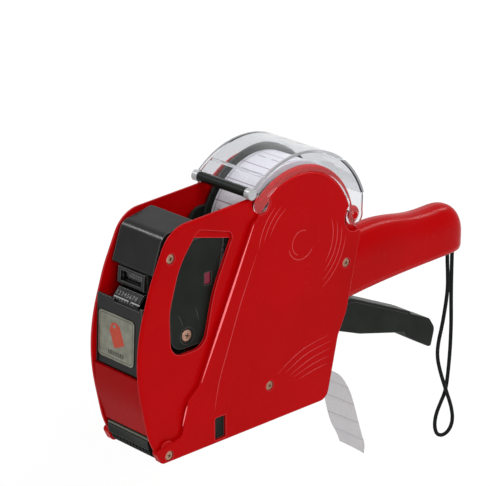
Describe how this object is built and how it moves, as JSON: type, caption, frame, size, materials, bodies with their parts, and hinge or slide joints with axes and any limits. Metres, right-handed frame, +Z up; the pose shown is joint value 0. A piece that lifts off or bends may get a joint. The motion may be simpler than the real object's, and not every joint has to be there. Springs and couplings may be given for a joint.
{
  "type": "price labeling gun",
  "caption": "Hand-held price labeling gun with a squeeze trigger, swinging print head, label roll under a clear hood and wrist cord.",
  "frame": {"origin": "middle of the handle grip, on the middle plane between the two casing halves", "axes": "+X from the applicator roller towards the end of the handle, +Y from the left side to the right side where the setting knob is, +Z up towards the label roll hood"},
  "size_m": [0.2387, 0.0476, 0.1975],
  "materials": {
    "red_casing": "glossy injection-moulded ABS, saturated red",
    "black_gloss": "glossy black ABS",
    "black_satin": "satin black nylon",
    "clear_hood": "clear polycarbonate",
    "grey_caps": "grey nylon",
    "steel": "bright steel",
    "brass_screw": "yellow-plated steel screws",
    "label_paper": "coated white label paper",
    "liner_paper": "glossy backing paper",
    "cardboard_core": "cardboard tube",
    "silver_sticker": "silver foil sticker",
    "number_rubber": "moulded rubber type bands",
    "white_nylon": "natural nylon",
    "ink_felt": "ink-soaked felt",
    "roller_rubber": "ribbed soft rubber",
    "lens": "smoked clear lens",
    "strap_cord": "braided black nylon cord"
  },
  "bodies": {
    "casing": {"left_shell": "red_casing", "right_shell": "red_casing", "front_panel": "red_casing", "inner_frame_left": "black_satin", "inner_frame_right": "black_satin", "arm_pivot_pin": "steel", "trigger_pin": "steel", "feed_axle": "steel", "applicator_axle": "steel", "bottom_hinge_pin": "steel", "web_guide_pin": "steel", "ink_pivot_pin": "steel", "case_screws": "brass_screw", "strap_knots": "strap_cord", "roll_flange": "black_satin", "platen": "steel", "label_web": "label_paper", "liner_strip": "liner_paper", "liner_tail": "liner_paper", "trigger_spring": "steel", "latch_spring": "steel", "wrist_strap": "strap_cord"},
    "swing_arm": {"swing_arm_left": "black_satin", "swing_arm_right": "black_satin", "drive_pin": "steel", "arm_screws": "brass_screw", "head_frame": "black_satin", "head_housing": "black_gloss", "window_frame": "black_gloss", "window_lens": "lens", "front_plate": "black_gloss", "badge": "silver_sticker", "number_bands": "number_rubber", "number_wheels": "white_nylon", "print_bar": "steel"},
    "setting_sleeve": {"setting_sleeve": "white_nylon"},
    "setting_knob": {"setting_knob": "black_satin", "setting_shaft": "steel", "setting_gear": "white_nylon"},
    "ink_holder": {"ink_holder": "black_satin", "ink_roller_pin": "steel"},
    "ink_roller": {"ink_roller": "ink_felt"},
    "applicator_roller": {"applicator_roller": "roller_rubber"},
    "trigger": {"trigger": "black_satin"},
    "feed_wheel": {"feed_wheel": "white_nylon", "ratchet_wheel": "white_nylon"},
    "feed_lever": {"feed_lever": "black_satin"},
    "bottom_cover": {"bottom_cover": "black_satin", "press_roller_pin": "steel"},
    "press_roller": {"press_roller": "roller_rubber"},
    "latch_left": {"latch_button_left": "black_satin"},
    "latch_right": {"latch_button_right": "black_satin"},
    "label_roll": {"label_roll": "label_paper", "roll_core": "cardboard_core"},
    "roll_cover": {"roll_cover": "clear_hood", "cover_rod": "black_satin", "cover_rod_caps": "grey_caps"}
  },
  "joints": [
    {"name": "trigger_squeeze", "type": "hinge", "parent": "casing", "child": "trigger", "pos_m": [-0.077, 0, -0.021], "axis": [0, -1, 0], "range_deg": [0, 16], "stiffness_Nm_per_rad": 2, "springref_deg": -8.59},
    {"name": "arm_swing", "type": "hinge", "parent": "casing", "child": "swing_arm", "pos_m": [-0.072, 0, -0.004], "axis": [0, -1, 0], "range_deg": [0, 11.6]},
    {"name": "ink_swing", "type": "hinge", "parent": "casing", "child": "ink_holder", "pos_m": [-0.15, 0, -0.01], "axis": [0, -1, 0], "range_deg": [0, 53.1]},
    {"name": "ink_spin", "type": "hinge", "parent": "ink_holder", "child": "ink_roller", "pos_m": [-0.1708, 0, -0.0322], "axis": [0, 1, 0], "continuous": true},
    {"name": "cover_hinge", "type": "hinge", "parent": "casing", "child": "roll_cover", "pos_m": [-0.0596, 0, 0.0346], "axis": [0, 1, 0], "range_deg": [0, 95]},
    {"name": "roll_spin", "type": "hinge", "parent": "casing", "child": "label_roll", "pos_m": [-0.095, 0, 0.034], "axis": [0, 1, 0], "continuous": true},
    {"name": "applicator_spin", "type": "hinge", "parent": "casing", "child": "applicator_roller", "pos_m": [-0.1828, 0, -0.0509], "axis": [0, 1, 0], "continuous": true},
    {"name": "setting_slide", "type": "slide", "parent": "swing_arm", "child": "setting_sleeve", "axis": [0, 1, 0], "range_m": [0, 0.014]},
    {"name": "setting_turn", "type": "hinge", "parent": "setting_sleeve", "child": "setting_knob", "pos_m": [-0.1665, 0, 0.0242], "axis": [0, 1, 0], "continuous": true},
    {"name": "bottom_cover_hinge", "type": "hinge", "parent": "casing", "child": "bottom_cover", "pos_m": [-0.084, 0, -0.0526], "axis": [0, -1, 0], "range_deg": [0, 60]},
    {"name": "latch_left_slide", "type": "slide", "parent": "casing", "child": "latch_left", "axis": [0, 1, 0], "range_m": [0, 0.002], "stiffness_N_per_m": 200, "springref_m": -0.003},
    {"name": "latch_right_slide", "type": "slide", "parent": "casing", "child": "latch_right", "axis": [0, -1, 0], "range_m": [0, 0.002], "stiffness_N_per_m": 200, "springref_m": -0.003},
    {"name": "feed_spin", "type": "hinge", "parent": "casing", "child": "feed_wheel", "pos_m": [-0.099, 0, -0.0386], "axis": [0, 1, 0], "continuous": true},
    {"name": "feed_rock", "type": "hinge", "parent": "casing", "child": "feed_lever", "pos_m": [-0.099, 0, -0.0386], "axis": [0, -1, 0], "range_deg": [0, 24.1]},
    {"name": "press_spin", "type": "hinge", "parent": "bottom_cover", "child": "press_roller", "pos_m": [-0.099, 0, -0.0517], "axis": [0, 1, 0], "continuous": true}
  ],
  "couplings": [
    {"joint": "arm_swing", "follows": "trigger_squeeze", "ratio": 0.72},
    {"joint": "ink_swing", "follows": "trigger_squeeze", "ratio": 3.3125},
    {"joint": "feed_rock", "follows": "trigger_squeeze", "ratio": 1.5}
  ]
}
